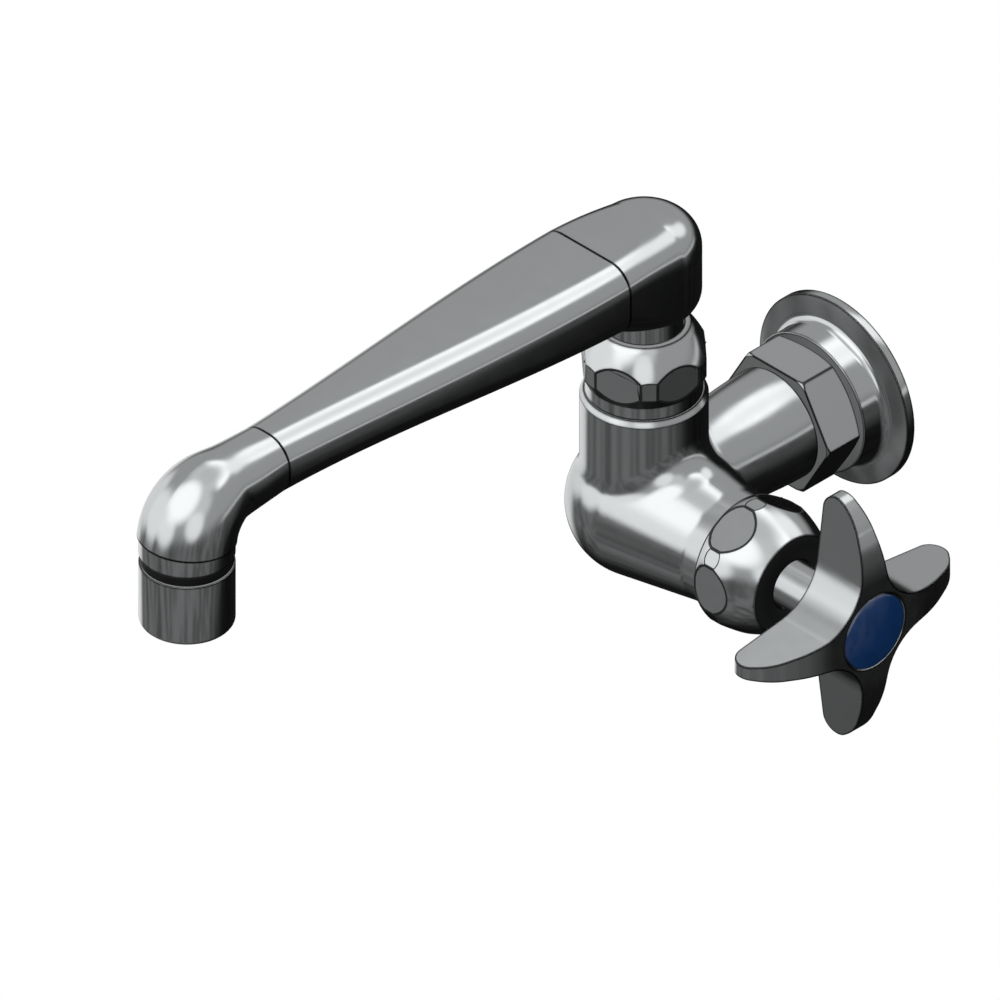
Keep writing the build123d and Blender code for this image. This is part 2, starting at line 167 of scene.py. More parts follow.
def hang(shade, level, *edges):
    """Hangs a cloth of one brightness over the shade that the tent has so far.

    Each edge is a direction from the faucet with two cosines: the cloth fades in from the
    first to the second, and lies only where it is inside all of its edges.
    """
    share = 1.0
    for direction, low, high in edges:
        toward = Vector(direction).normalized() / tent_radius
        depth = add(tree, "ShaderNodeVectorMath", {0: place, 1: toward}, operation="DOT_PRODUCT")
        fade = add(
            tree,
            "ShaderNodeMapRange",
            {"Value": depth.outputs["Value"], "From Min": low, "From Max": high, "To Max": share},
            interpolation_type="SMOOTHSTEP",
        )
        share = fade.outputs["Result"]
    hung = add(tree, "ShaderNodeMix", {0: share, 2: shade, 3: level}, data_type="FLOAT")
    return hung.outputs[0]


up = (0, 0, 1)
down = (0, 0, -1)
# overhead the tent is mid grey and brightens toward the top
overhead = hang(hang(0.46, 0.84, (up, 0.80, 0.91)), 0.773, (up, 0.93, 0.99))
# below the horizon it falls from dark grey in front to near black at the back,
# and its cloth hangs in folds
stretched = add(tree, "ShaderNodeVectorMath", {0: place, 1: (1, 1, 0.12)}, operation="MULTIPLY")
folds = add(
    tree,
    "ShaderNodeTexNoise",
    {"Vector": stretched.outputs["Vector"], "Scale": 11.0, "Detail": 1.0},
)
light_in_folds = add(
    tree,
    "ShaderNodeMapRange",
    {
        "Value": folds.outputs["Fac"],
        "From Min": 0.36,
        "From Max": 0.64,
        "To Min": 0.6,
        "To Max": 1.35,
    },
    interpolation_type="SMOOTHSTEP",
)
below = hang(0.16, 0.008, ((-0.12, 0.70, -0.70), 0.0, 0.75))
below = add(
    tree, "ShaderNodeMath", {0: below, 1: light_in_folds.outputs["Result"]}, operation="MULTIPLY"
)
shade = hang(below.outputs[0], overhead, (up, -0.06, 0.30))
# pale cloths hang in front on the left, down to below the horizon
shade = hang(shade, 0.9, ((-0.93, 0.11, -0.34), 0.87, 0.96))
shade = hang(shade, 1.0, ((-0.95, -0.31, 0.10), 0.90, 0.97))
shade = hang(shade, 1.15, ((-0.65, -0.72, 0.24), 0.885, 0.96))
shade = hang(shade, 1.2, ((-0.17, -0.96, 0.21), 0.94, 0.985))
# bright windows: one on the right above, a large one in front, one low on the right,
# an arc high at the back, and one at the back under the arc
shade = hang(shade, 0.85, ((0.45, -0.55, 0.70), 0.88, 0.97))
shade = hang(shade, 1.65, ((-0.05, -0.68, 0.73), 0.85, 0.955))
shade = hang(shade, 1.2, ((0.61, -0.71, 0.35), 0.94, 0.985))
shade = hang(shade, 1.75, (up, 0.76, 0.85), (down, -0.995, -0.86), ((0.22, 0.97, 0), 0.0, 0.25))
shade = hang(shade, 1.35, ((0.10, 0.69, 0.72), 0.93, 0.99))
# a thin light line on the horizon behind the handle
shade = hang(shade, 0.8, (up, -0.02, 0.05), (down, -0.14, -0.07), ((0.75, 0.66, 0), 0.70, 0.93))
cloth = add(tree, "ShaderNodeEmission", {"Color": white, "Strength": shade})
add(tree, "ShaderNodeOutputMaterial", {"Surface": cloth.outputs[0]})
tent.data.materials.append(tent_cloth)


def softbox(name, turn, rise, size, radiance):
    """A soft rectangular lamp that faces the faucet.

    Turn and rise are in degrees: turn is 0 in front and 90 on the handle's side.
    """
    reach = 0.8
    level = cos(radians(rise))
    away = Vector((sin(radians(turn)) * level, -cos(radians(turn)) * level, sin(radians(rise))))
    bpy.ops.object.light_add(type="AREA", location=body_centre + away * reach)
    lamp = bpy.context.object
    lamp.name = name
    lamp.rotation_euler = away.to_track_quat("Z", "Y").to_euler()
    lamp.data.shape = "RECTANGLE"
    lamp.data.size, lamp.data.size_y = size
    lamp.data.energy = radiance * pi * size[0] * size[1]
    lamp.visible_camera = lamp.visible_glossy = False


softbox("lamp_front", 0, 46, (0.95, 0.62), 1.6)
softbox("lamp_back", 165, 61, (0.80, 0.19), 1.75)
softbox("lamp_right", 42, 20, (0.45, 0.14), 1.2)


# ---------------------------------------------------------------------------
# Wall flange: a brass pressing, turned, buffed and chromed, that covers the
# hole in the wall. A cove leads from its flat rim up to the hub round the pipe.
# ---------------------------------------------------------------------------
along_x = Matrix.Rotation(radians(90), 4, "Y")
along_y = Matrix.Rotation(radians(-90), 4, "X")
upright = Matrix.Identity(4)


def chrome_plate(name, slot, colour, roughness, swell, swell_size):
    """Nickel and chrome over a buffed metal: a mirror, a little duller where handled.

    The swell that buffing leaves is given in millimetres, by its depth and its size.
    """
    material = bpy.data.materials.new(name)
    material["slot"] = slot
    tree = new_tree(material)
    place = add(tree, "ShaderNodeTexCoord").outputs["Object"]
    wave = add(
        tree, "ShaderNodeTexNoise", {"Vector": place, "Scale": 1 / (swell_size * MM), "Detail": 1.0}
    )
    # dried water leaves a dull bloom of about 4 mm
    bloom = add(
        tree, "ShaderNodeTexNoise", {"Vector": place, "Scale": 1 / (4 * MM), "Detail": 3.0}
    )
    relief = add(
        tree,
        "ShaderNodeBump",
        {"Height": wave.outputs["Fac"], "Strength": 0.2, "Distance": swell * MM},
    )
    dull = add(
        tree,
        "ShaderNodeMapRange",
        {
            "Value": bloom.outputs["Fac"],
            "From Min": 0.3,
            "From Max": 0.7,
            "To Min": roughness - 0.02,
            "To Max": roughness + 0.03,
        },
    )
    # painted shade: a thin dark line is painted along every sharp edge and joint,
    # where the normal that is rounded over 0.9 mm turns away from the true one
    rounded = add(tree, "ShaderNodeBevel", {"Radius": 0.9 * MM}, samples=8).outputs["Normal"]
    true = add(tree, "ShaderNodeNewGeometry").outputs["Normal"]
    alike = add(tree, "ShaderNodeVectorMath", {0: rounded, 1: true}, operation="DOT_PRODUCT")
    away_from_painted_edge_shade = add(
        tree,
        "ShaderNodeMapRange",
        {"Value": alike.outputs["Value"], "From Min": 0.975, "From Max": 0.996},
    )
    # near the edges the colour turns to the near black of the painted edge shade
    tint = add(
        tree,
        "ShaderNodeMix",
        {0: away_from_painted_edge_shade.outputs["Result"], 6: linear("#0B0C0D"), 7: linear(colour)},
        data_type="RGBA",
    )
    metal = add(
        tree,
        "ShaderNodeBsdfPrincipled",
        {
            "Base Color": tint.outputs[2],
            "Metallic": 1.0,
            "Roughness": dull.outputs["Result"],
            "Normal": relief.outputs["Normal"],
        },
    )
    add(tree, "ShaderNodeOutputMaterial", {"Surface": metal.outputs[0]})
    return material


# chrome on turned brass: the clearest mirror here, with a slight swell
turned_chrome = chrome_plate(
    "chrome_on_turned_brass", "chrome", "#C8CBCC", roughness=0.13, swell=0.010, swell_size=15
)


def rounded_outline(corners, steps=7):
    """A closed outline whose corners (x, y, radius) are turned into arcs."""
    points = []
    for i, (x, y, radius) in enumerate(corners):
        here = Vector((x, y))
        if not radius:
            points.append(here)
            continue
        before = (Vector(corners[i - 1][:2]) - here).normalized()
        after = (Vector(corners[(i + 1) % len(corners)][:2]) - here).normalized()
        half = before.angle(after) / 2
        middle = here + (before + after).normalized() * (radius / sin(half))
        start = here + before * (radius / tan(half)) - middle
        end = here + after * (radius / tan(half)) - middle
        for k in range(steps + 1):
            points.append(middle + start.slerp(end, k / steps).normalized() * radius)
    return [tuple(p) for p in points]


def only(piece):
    """Leaves one piece selected and active."""
    bpy.ops.object.select_all(action="DESELECT")
    piece.select_set(True)
    bpy.context.view_layer.objects.active = piece


def laid_out(name, points, edges, faces):
    """A new piece from an outline of points, left selected and active."""
    mesh = bpy.data.meshes.new(name)
    mesh.from_pydata(points, edges, faces)
    piece = bpy.data.objects.new(name, mesh)
    bpy.context.collection.objects.link(piece)
    only(piece)
    return piece


def clean_up(piece, angle=30):
    """Joins what coincides, turns the faces outwards and keeps the edges crisp."""
    only(piece)
    bpy.ops.object.mode_set(mode="EDIT")
    bpy.ops.mesh.select_all(action="SELECT")
    bpy.ops.mesh.remove_doubles(threshold=1e-6)
    bpy.ops.mesh.normals_make_consistent(inside=False)
    bpy.ops.object.mode_set(mode="OBJECT")
    bpy.ops.object.shade_smooth_by_angle(angle=radians(angle))


def spun(name, corners, steps=144):
    """A turned piece on Z, from corners (radius, height, rounding) in millimetres."""
    outline = rounded_outline(corners)
    count = len(outline)
    ring = [(i, (i + 1) % count) for i in range(count)]
    piece = laid_out(name, [(r * MM, 0, h * MM) for r, h in outline], ring, [])
    bpy.ops.object.mode_set(mode="EDIT")
    bpy.ops.mesh.select_all(action="SELECT")
    bpy.ops.mesh.spin(steps=steps, angle=radians(360), center=(0, 0, 0), axis=(0, 0, 1))
    bpy.ops.object.mode_set(mode="OBJECT")
    clean_up(piece)
    return piece


def fitted(piece, node, material, body="faucet_body", lay=upright, y=0.0):
    """Lays a piece in its place on the faucet, where it stands for its solid."""
    piece.data.transform(Matrix.Translation((0, (y - wall_to_riser) * MM, 0)) @ lay)
    if not piece.data.materials:
        piece.data.materials.append(material)
    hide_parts(node)
    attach(piece, body)


flange = spun(
    "escutcheon",
    [
        (13.65, 55.3, 0),
        (18.2, 55.3, 0.3),
        (18.2, 62.3, 1.9),
        (20.2, 62.3, 1.2),
        (24.65, 63.2, 0.08),
        (24.65, wall_to_riser, 0.08),
        (13.65, wall_to_riser, 0),
    ],
)
fitted(flange, "wall_flange", turned_chrome, lay=along_y)


# ---------------------------------------------------------------------------
# Inlet coupling: hexagon brass bar, bored and tapped for the supply pipe and
# screwed to the body over a flat gasket. Its shank passes through the flange.
# ---------------------------------------------------------------------------
# painted shade: a dull, specked near-black paint for the thin dark line where a flat meets the
# rounds
outline_shade_paint = bpy.data.materials.new("painted_outline_shade")
tree = new_tree(outline_shade_paint)
place = add(tree, "ShaderNodeTexCoord").outputs["Object"]
speck = add(tree, "ShaderNodeTexNoise", {"Vector": place, "Scale": 1 / (0.8 * MM)})
speckled_outline_shade = add(
    tree,
    "ShaderNodeMix",
    {0: speck.outputs["Fac"], 6: linear("#08090A"), 7: linear("#17181A")},
    data_type="RGBA",
)
outline_shade_surface = add(
    tree, "ShaderNodeBsdfPrincipled", {"Base Color": speckled_outline_shade.outputs[2], "Roughness": 0.55}
)
add(tree, "ShaderNodeOutputMaterial", {"Surface": outline_shade_surface.outputs[0]})

# a cut moves the corners that are closer than this onto its plane, so it is next to nothing
snap = 1e-7


def flats(piece, *cuts):
    """Mills six flats for each cut on a piece that stands on Z.

    A cut is the width across its flats, its turn in degrees, and the width of the painted dark
    line, a painted shade, that runs round each flat, in millimetres.
    """
    piece.data.materials.append(turned_chrome)
    piece.data.materials.append(outline_shade_paint)
    slack = 0.002
    milled = []
    for width, turn, line in cuts:
        for side in range(6):
            facing = radians(30 + turn + 60 * side)
            out = Vector((cos(facing), sin(facing), 0))
            milled.append((out, width / 2 * MM))
            only(piece)
            bpy.ops.object.mode_set(mode="EDIT")
            bpy.ops.mesh.select_mode(type="FACE")
            bpy.ops.mesh.select_all(action="SELECT")
            bpy.ops.mesh.bisect(
                plane_co=out * width / 2 * MM,
                plane_no=out,
                use_fill=True,
                clear_outer=True,
                threshold=snap,
            )
            bpy.ops.mesh.select_all(action="DESELECT")
            bpy.ops.object.mode_set(mode="OBJECT")
            for face in piece.data.polygons:
                face.select = face.center.dot(out) > (width / 2 - slack) * MM
            bpy.ops.object.mode_set(mode="EDIT")
            bpy.ops.mesh.mark_sharp()
            # the ring of faces that the inset leaves round the flat gets the painted shade
            if line:
                piece.active_material_index = 1
                bpy.ops.object.material_slot_assign()
                bpy.ops.mesh.inset(thickness=line * MM)
                piece.active_material_index = 0
                bpy.ops.object.material_slot_assign()
            bpy.ops.mesh.select_mode(type="VERT")
            bpy.ops.object.mode_set(mode="OBJECT")
    clean_up(piece, 15)
    # a milled flat is a true plane, so no light rounds over it from its neighbours
    for face in piece.data.polygons:
        for out, reach in milled:
            if face.center.dot(out) > reach - slack * MM and face.normal.dot(out) > 0.9999:
                face.use_smooth = False


coupling = spun(
    "pipe_coupling",
    [
        (10.45, 43.6, 0),
        (17.3, 43.6, 0),
        (18.3, 44.2, 0),
        (18.3, 53.8, 0),
        (15.3, 55.3, 0),
        (13.6, 55.3, 0),
        (13.6, wall_to_riser, 0.3),
        (9.3, wall_to_riser, 0.3),
        (9.3, 52.1, 0),
        (7.0, 51.4, 0),
        (7.0, 50.6, 0),
        (10.45, 50.6, 0),
    ],
)
flats(coupling, (31.5, 0, 0.2), (36.1, 30, 0))
fitted(coupling, "inlet_coupling", turned_chrome, lay=along_y)


# ---------------------------------------------------------------------------
# Valve body: one brass casting, buffed and chromed. A round corner carries
# the tapered valve barrel, the riser and the inlet, blended by soft fillets.
# The skin is pulled onto its true rounds, because a mirror shows every facet.
# ---------------------------------------------------------------------------
# chrome on a casting that is buffed by hand: its swell is deeper and wider than a lathe's
cast_chrome = chrome_plate(
    "chrome_on_buffed_cast_brass", "chrome", "#C6C9CA", roughness=0.15, swell=0.020, swell_size=22
)
bulb_radius, barrel_taper, barrel_radius, barrel_end = 18.8, radians(9.1), 14.7, 32.3
riser_radius, riser_end = 15.3, 30.85
inlet_radius, inlet_end = 13.3, 43.6
flare, flare_start, flare_length = 1.1, 20.0, 23.6
riser_fillet, inlet_fillet = 8.0, 4.0


def barrel_skin(p):
    """Distance in millimetres from the bulb and the tapered barrel on X."""
    across = np.hypot(p[:, 1], p[:, 2])
    ball = np.hypot(across, p[:, 0]) - bulb_radius
    meet_x, meet_radius = bulb_radius * sin(barrel_taper), bulb_radius * cos(barrel_taper)
    cone = (across - meet_radius) * cos(barrel_taper) + (p[:, 0] - meet_x) * sin(barrel_taper)
    straight = across - barrel_radius
    return np.where(p[:, 0] < meet_x, ball, np.minimum(cone, straight))


def riser_skin(p):
    """Distance from the riser on Z."""
    below = np.minimum(p[:, 2], 0)
    return np.sqrt(p[:, 0] ** 2 + p[:, 1] ** 2 + below**2) - riser_radius


def inlet_skin(p):
    """Distance from the inlet on Y, which flares gently toward the coupling."""
    share = np.clip((p[:, 1] - flare_start) / flare_length, 0, 1)
    radius = inlet_radius + flare * share**2 * (3 - 2 * share)
    behind = np.minimum(p[:, 1], 0)
    return np.sqrt(p[:, 0] ** 2 + p[:, 2] ** 2 + behind**2) - radius


def slope(skin, p):
    """The direction away from a skin at every point."""
    here = skin(p)
    ways = np.stack([(skin(p + 0.01 * axis) - here) / 0.01 for axis in np.eye(3)], axis=1)
    return ways / np.maximum(np.linalg.norm(ways, axis=1), 0.3)[:, None]


def blended(first, second, radius):
    """Two skins joined by the fillet that a ball leaves when it rolls along both."""

    def skin(p):
        a, b = first(p), second(p)
        cosine = np.clip((slope(first, p) * slope(second, p)).sum(1), -1, 0.9999)
        u, v = radius - a, radius - b
        reach = np.sqrt(np.maximum(u * u + v * v - 2 * u * v * cosine, 0) / (1 - cosine**2))
        rolled = (u > v * cosine) & (v > u * cosine)
        return np.where(rolled, radius - reach, np.minimum(a, b))

    return skin


body_skin = blended(blended(barrel_skin, riser_skin, riser_fillet), inlet_skin, inlet_fillet)
# rough forms, a ball and three bars, that are melted into one
bpy.ops.object.select_all(action="DESELECT")
bpy.ops.mesh.primitive_uv_sphere_add(segments=64, ring_count=32, radius=0.0186)
casting = bpy.context.object
for length, radius, turn in (
    (0.036, 0.0150, (0, radians(90), 0)),
    (0.035, 0.0153, (0, 0, 0)),
    (0.048, 0.0136, (radians(-90), 0, 0)),
):
    bpy.ops.mesh.primitive_cylinder_add(vertices=64, radius=radius, depth=length, rotation=turn)
    bpy.context.object.data.transform(Matrix.Translation((0, 0, length / 2)))
    casting.select_set(True)
    bpy.context.view_layer.objects.active = casting
    bpy.ops.object.join()
casting.name = "body_casting"
only(casting)
remesh = casting.modifiers.new("cast", "REMESH")
remesh.mode = "VOXEL"
remesh.voxel_size = 0.6 * MM
bpy.ops.object.modifier_apply(modifier="cast")
# every point is pulled onto the skin, apart from the bars' ends, which are then cut off
points = np.empty(len(casting.data.vertices) * 3)
casting.data.vertices.foreach_get("co", points)
points = points.reshape(-1, 3) / MM
for pull in range(5):
    free = (points[:, 0] < 34.5) & (points[:, 1] < 46.0) & (points[:, 2] < 33.5)
    points -= np.where(free, body_skin(points), 0)[:, None] * slope(body_skin, points)
casting.data.vertices.foreach_set("co", (points * MM).ravel())
casting.data.update()
bpy.ops.object.mode_set(mode="EDIT")
for end in ((barrel_end, 0, 0), (0, inlet_end, 0), (0, 0, riser_end)):
    bpy.ops.mesh.select_all(action="SELECT")
    plane = Vector(end) * MM
    bpy.ops.mesh.bisect(
        plane_co=plane, plane_no=plane.normalized(), use_fill=True, clear_outer=True, threshold=snap
    )
bpy.ops.object.mode_set(mode="OBJECT")
clean_up(casting, 40)
riser_rim = spun(
    "riser_rim",
    [
        (11.0, riser_end, 0),
        (riser_radius, riser_end, 0),
        (14.4, 32.3, 0),
        (12.5, 32.3, 0),
        (12.5, 39.2, 0.3),
        (11.0, 39.2, 0),
    ],
)
only(casting)
riser_rim.select_set(True)
bpy.ops.object.join()
fitted(casting, "valve_body", cast_chrome)


# ---------------------------------------------------------------------------
# Swivel nut and bonnet nut: hexagon brass nuts with a turned dome. Where the
# dome and the skirt cut the six flats, each flat is left as a rounded shield.
# ---------------------------------------------------------------------------
def dome(start, through, end, steps=20):
    """Points of the arc through three (radius, height) points, the last one left out."""
    (ax, ay), (bx, by), (cx, cy) = start, through, end
    a, b, c = ax**2 + ay**2, bx**2 + by**2, cx**2 + cy**2
    d = 2 * (ax * (by - cy) + bx * (cy - ay) + cx * (ay - by))
    ux = (a * (by - cy) + b * (cy - ay) + c * (ay - by)) / d
    uy = (a * (cx - bx) + b * (ax - cx) + c * (bx - ax)) / d
    middle = Vector((ux, uy))
    first, last = Vector(start) - middle, Vector(end) - middle
    arc = [first.slerp(last, k / steps).normalized() * first.length for k in range(steps)]
    return [(*(middle + spoke), 0) for spoke in arc]


# twice the usual steps, because the flats cut these rounds into narrow shields
nut_steps = 288
swivel = spun(
    "spout_nut",
    [(12.55, 32.3, 0), (14.0, 32.3, 0), (14.0, 35.7, 0), (15.6, 38.8, 0)]
    + dome((15.6, 43.6), (14.4, 46.2), (11.95, 50.2))
    + [(11.95, 50.2, 0), (11.1, 51.1, 0), (9.48, 51.1, 0), (9.48, 43.0, 0), (12.55, 43.0, 0)],
    nut_steps,
)
flats(swivel, (28.7, 19.6, 0.6), (30.9, 49.6, 0.3))
fitted(swivel, "swivel_nut", turned_chrome)

bonnet = spun(
    "valve_nut",
    [(13.05, barrel_end, 0)]
    + dome((15.7, barrel_end), (16.55, 34.0), (17.0, 35.8))
    + [(17.0, 35.8, 0)]
    + dome((17.0, 38.8), (15.6, 43.6), (12.7, 49.5))
    + [(12.7, 49.5, 0.2), (6.2, 49.5, 0.2), (6.2, 46.5, 0)]
    + [(8.05, 46.5, 0), (8.05, 42.5, 0), (13.05, 42.5, 0)],
    nut_steps,
)
flats(bonnet, (31.3, 0, 0.6), (33.7, 30, 0.3))
# painted shade: the dark outline paint also covers the seam between the nut and the body
seam_height, seam_radius = 33.0, 14.0
for face in bonnet.data.polygons:
    if face.center.z < seam_height * MM and face.center.xy.length > seam_radius * MM:
        face.material_index = 1
fitted(bonnet, "bonnet_nut", turned_chrome, lay=along_x)


# ---------------------------------------------------------------------------
# Spout: a cast rear elbow, a tapered tube and a cast front elbow, brazed end
# to end, buffed as one and chromed. The sections are rounded squares at the
# rear that grow round toward the outlet.
# ---------------------------------------------------------------------------
# chrome on drawn tube, buffed in long strokes: its swell is wide and shallow
tube_chrome = chrome_plate(
    "chrome_on_buffed_brass_tube",
    "tube_chrome",
    "#C6C9CA",
    roughness=0.15,
    swell=0.012,
    swell_size=30,
)


def lofted(name, rows):
    """A smooth skin over rows of points in millimetres, closed at both ends."""
    bpy.ops.object.select_all(action="DESELECT")
    bpy.ops.mesh.primitive_grid_add(x_subdivisions=len(rows) - 1, y_subdivisions=len(rows[0]) - 1)
    piece = bpy.context.object
    piece.name = piece.data.name = name
    corners = piece.data.vertices
    flat = sorted(range(len(corners)), key=lambda i: tuple(corners[i].co[:2]))
    for row, points in enumerate(rows):
        for column, point in enumerate(points):
            corners[flat[row * len(points) + column]].co = Vector(point) * MM
    clean_up(piece, 40)
    bpy.ops.object.mode_set(mode="EDIT")
    bpy.ops.mesh.select_all(action="SELECT")
    bpy.ops.mesh.fill_holes(sides=0)
    bpy.ops.object.mode_set(mode="OBJECT")
    clean_up(piece, 40)
    return piece


def across(half_width, bottom, top, lower, upper):
    """A rounded section (x, z) of the spout, from its top's middle round by +X and back."""
    corners = [
        (0, top, 0),
        (half_width, top, upper),
        (half_width, bottom, lower),
        (-half_width, bottom, lower),
        (-half_width, top, upper),
    ]
    points = rounded_outline(corners, 16)
    return points + points[:1]


def between(stations, at):
    """Every measure of the spout at a distance, on a smooth curve through its stations."""
    total = [0.0] * (len(stations[0]) - 1)
    for i, (place, *values) in enumerate(stations):
        weight = 1.0
        for j, other in enumerate(stations):
            if j != i:
                weight *= (at - other[0]) / (place - other[0])
        total = [t + weight * v for t, v in zip(total, values)]
    return total


# distance from the riser's axis, half width, underside, top, lower and upper rounding
rear_seam, front_seam = 19.3, 126.4
tube_stations = (
    (rear_seam, 14.9, 62.7, 82.0, 6.7, 6.7),
    (48.0, 14.1, 64.2, 82.0, 6.9, 6.9),
    (100.0, 10.15, 66.6, 82.15, 7.1, 7.1),
    (front_seam, 8.35, 66.4, 82.4, 7.2, 7.2),
)
tube_steps = 90
rows = []
for k in range(tube_steps + 1):
    reach = rear_seam + (front_seam - rear_seam) * k / tube_steps
    rows.append([(x, -reach, z) for x, z in across(*between(tube_stations, reach))])
tube = lofted("tapered_spout", rows)
fitted(tube, "spout_tube", tube_chrome, "spout")

# the rear elbow is swept round the riser: one side, a half turn, the other side
elbow_stations = (
    (0.0, 13.75, 54.7, 81.8, 6.8, 8.8),
    (7.0, 14.25, 56.9, 82.0, 6.8, 7.6),
    (rear_seam, 14.9, 62.7, 82.0, 6.7, 6.7),
)
side_steps, turn_steps = 24, 72
path = [(rear_seam - rear_seam * k / side_steps, 0) for k in range(side_steps)]
path += [(0, 180 * k / turn_steps) for k in range(turn_steps + 1)]
path += [(rear_seam * k / side_steps, 180) for k in range(1, side_steps + 1)]
rows = []
for reach, turn in path:
    section = across(*between(elbow_stations, reach))
    side = [(x, z) for x, z in section[: len(section) // 2 + 1] if x >= 0]
    side.append((0, side[-1][1]))
    rows.append([(x * cos(radians(turn)), x * sin(radians(turn)) - reach, z) for x, z in side])
elbow = lofted("rear_elbow", rows)
fitted(elbow, "spout_elbow", cast_chrome, "spout")

# the front elbow runs straight from its seam, then turns and widens toward the outlet;
# the bend's stations are the degrees turned and the radius there
front_turn = 84.5
bend = ((0.0, 9.25), (21.1, 10.3), (42.2, 11.15), (63.4, 11.7), (front_turn, 11.9))
pivot = Vector((0, -139.66, 63.9))
inside_bend = 0.9
seam_centre = Vector((0, -front_seam, 74.4))
seam_half_width, seam_half_height, seam_rounding = 8.35, 8.0, 7.2
straight_steps, bend_steps = 16, 60
rows = []
for k in range(-straight_steps, bend_steps + 1):
    turn = front_turn * max(k, 0) / bend_steps
    (radius,) = between(bend, turn)
    lift = Vector((0, -sin(radians(turn)), cos(radians(turn))))
    centre = pivot + (inside_bend + radius) * lift
    seam = max(-k, 0) / straight_steps
    centre = centre.lerp(seam_centre, seam)
    half_width = radius + (seam_half_width - radius) * seam
    half_height = radius + (seam_half_height - radius) * seam
    corner = radius - 0.05 + (seam_rounding - radius + 0.05) * seam
    section = across(half_width, -half_height, half_height, corner, corner)
    rows.append([centre + Vector((x, 0, 0)) + lift * z for x, z in section])
# light passes that ease the straight into the bend
for ease in range(40):
    inner = zip(rows, rows[1:], rows[2:])
    rows[1:-1] = [[(a + 2 * b + c) / 4 for a, b, c in zip(*three)] for three in inner]
tip = lofted("front_elbow", rows)
fitted(tip, "spout_tip", cast_chrome, "spout")


# ---------------------------------------------------------------------------
# Outlet: a chromed collar brazed under the front elbow, whose thread takes the
# aerator's cup; a black rubber ring is squeezed between collar and cup.
# ---------------------------------------------------------------------------
def matter(name, slot, light, dark, roughness, grain, relief, metallic=0.0, shine=0.5):
    """A plain material of two shades, with its grain's size and relief in millimetres."""
    material = bpy.data.materials.new(name)
    material["slot"] = slot
    tree = new_tree(material)
    place = add(tree, "ShaderNodeTexCoord").outputs["Object"]
    fine = add(
        tree, "ShaderNodeTexNoise", {"Vector": place, "Scale": 1 / (grain * MM), "Detail": 4.0}
    )
    # wear comes in patches of about 6 mm, which carry the two shades
    wear = add(
        tree, "ShaderNodeTexNoise", {"Vector": place, "Scale": 1 / (6 * MM), "Detail": 2.0}
    )
    tint = add(
        tree,
        "ShaderNodeMix",
        {0: wear.outputs["Fac"], 6: linear(dark), 7: linear(light)},
        data_type="RGBA",
    )
    bump = add(
        tree,
        "ShaderNodeBump",
        {"Height": fine.outputs["Fac"], "Strength": 0.5, "Distance": relief * MM},
    )
    dull = add(
        tree,
        "ShaderNodeMapRange",
        {
            "Value": wear.outputs["Fac"],
            "From Min": 0.3,
            "From Max": 0.7,
            "To Min": roughness - 0.04,
            "To Max": roughness + 0.06,
        },
    )
    shader = add(
        tree,
        "ShaderNodeBsdfPrincipled",
        {
            "Base Color": tint.outputs[2],
            "Metallic": metallic,
            "Roughness": dull.outputs["Result"],
            "Specular IOR Level": shine,
            "Normal": bump.outputs["Normal"],
        },
    )
    add(tree, "ShaderNodeOutputMaterial", {"Surface": shader.outputs[0]})
    return material


# moulded rubber: near black, its skin faintly matt with a bloom where water dried on it
rubber = matter(
    "black_nitrile_rubber",
    "black_rubber",
    "#0A0B0C",
    "#040405",
    roughness=0.55,
    grain=0.25,
    relief=0.015,
    shine=0.25,
)
spout_reach = 152.4
outlet_radius = 11.5
collar_foot, cup_rim = 61.1, 58.3

collar = spun(
    "collar",
    [
        (7.6, 53.2, 0),
        (9.8, 53.2, 0.3),
        (9.8, collar_foot, 0),
        (outlet_radius, collar_foot, 0.1),
        (outlet_radius, 69.9, 0),
        (7.6, 69.9, 0),
    ],
)
# its top is cut off along the front elbow's mouth, which leans 5.5 degrees
only(collar)
bpy.ops.object.mode_set(mode="EDIT")
bpy.ops.mesh.select_all(action="SELECT")
bpy.ops.mesh.bisect(
    plane_co=(0, 12.74 * MM, 63.9 * MM),
    plane_no=(0, 0.0958, 0.9954),
    use_fill=True,
    clear_outer=True,
    threshold=snap,
)
bpy.ops.object.mode_set(mode="OBJECT")
clean_up(collar)
fitted(collar, "outlet_collar", turned_chrome, "spout", y=-spout_reach)

ring = spun(
    "black_ring",
    [(9.9, cup_rim, 0.2), (11.2, cup_rim, 0.6), (11.2, collar_foot, 0.6), (9.9, collar_foot, 0.2)],
)
fitted(ring, "outlet_gasket", rubber, "spout", y=-spout_reach)

cup = spun(
    "aerator_cup",
    [
        (9.85, cup_rim, 0),
        (outlet_radius, cup_rim, 0.1),
        (outlet_radius, 41.5, 1.2),
        (8.4, 41.5, 0.3),
        (8.4, 44.0, 0),
        (9.6, 44.0, 0),
        (9.6, 52.5, 0),
        (9.85, 52.5, 0),
    ],
)
fitted(cup, "aerator_housing", turned_chrome, "spout", y=-spout_reach)


# ---------------------------------------------------------------------------
# Cross handle: a four-arm zinc casting with a long neck, tumbled, buffed and
# chromed, pressed on the spindle's tang and held by a screw under the button.
# ---------------------------------------------------------------------------
arm_reach = 34
handle_back, handle_front = 61.9, 77.0


def prism(name, corners, low, high):
    """An upright prism over an outline of corners (x, y, rounding)."""
    outline = rounded_outline(corners, 12)
    foot = [(a * MM, b * MM, low * MM) for a, b in outline]
    piece = laid_out(name, foot, [], [range(len(outline))])
    bpy.ops.object.mode_set(mode="EDIT")
    bpy.ops.mesh.select_all(action="SELECT")
    rise = (0, 0, (high - low) * MM)
    bpy.ops.mesh.extrude_region_move(TRANSFORM_OT_translate={"value": rise})
    bpy.ops.mesh.select_all(action="SELECT")
    bpy.ops.mesh.normals_make_consistent(inside=False)
    bpy.ops.object.mode_set(mode="OBJECT")
    return piece


